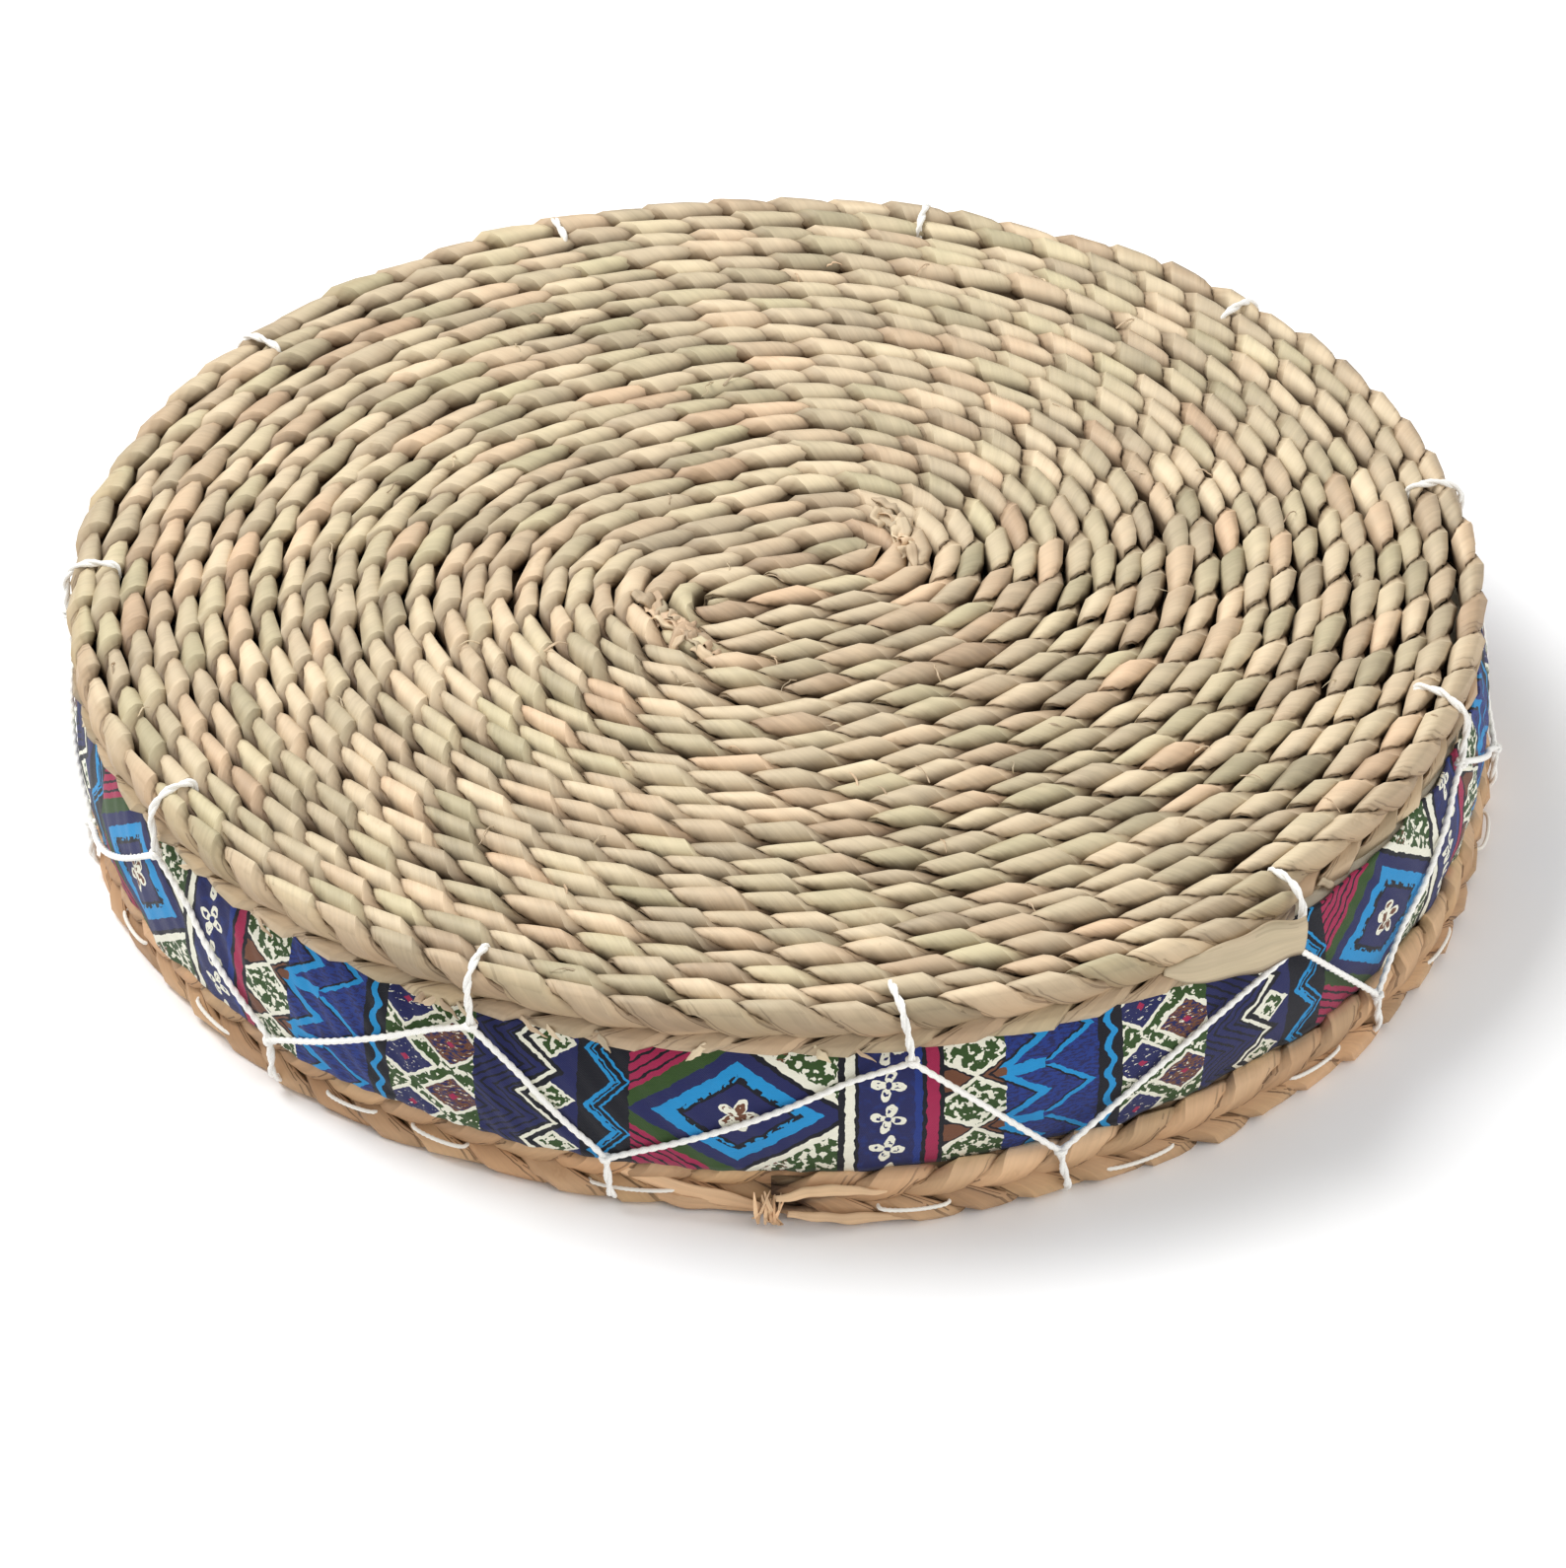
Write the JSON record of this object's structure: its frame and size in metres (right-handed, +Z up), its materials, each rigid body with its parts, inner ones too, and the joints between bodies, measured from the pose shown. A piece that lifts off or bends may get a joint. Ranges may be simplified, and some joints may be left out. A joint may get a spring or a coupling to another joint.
{
  "type": "seat pad",
  "caption": "Round seat pad: spiral mats of plaited reed above and below a padded case with a printed cotton side band, laced together at the rims by a cotton cord.",
  "frame": {"origin": "centre of the pad's outline at the level it rests on", "axes": "+Z up out of the seat, -Y to the front of the pad, where the band's printed panels are centred"},
  "size_m": [0.4016, 0.399, 0.0726],
  "materials": {
    "reed": "dry plaited reed leaf, satin",
    "aged_reed": "dry plaited reed leaf, tan, matte",
    "printed_cotton": "printed plain-weave cotton, matte",
    "plain_cotton": "plain-weave cotton, matte",
    "foam": "open-cell padding, matte",
    "sewing_thread": "spun cotton thread, matte",
    "cotton_cord": "twisted cotton cord, matte"
  },
  "bodies": {
    "root": {"top_plait": "reed", "bottom_plait": "aged_reed", "side_band": "printed_cotton", "top_lining": "plain_cotton", "bottom_lining": "plain_cotton", "foam_core": "foam", "top_seam_thread": "sewing_thread", "bottom_seam_thread": "sewing_thread", "band_seam_thread": "sewing_thread", "top_coil_thread": "sewing_thread", "bottom_rim_thread": "sewing_thread", "lacing_cord": "cotton_cord"}
  },
  "joints": []
}
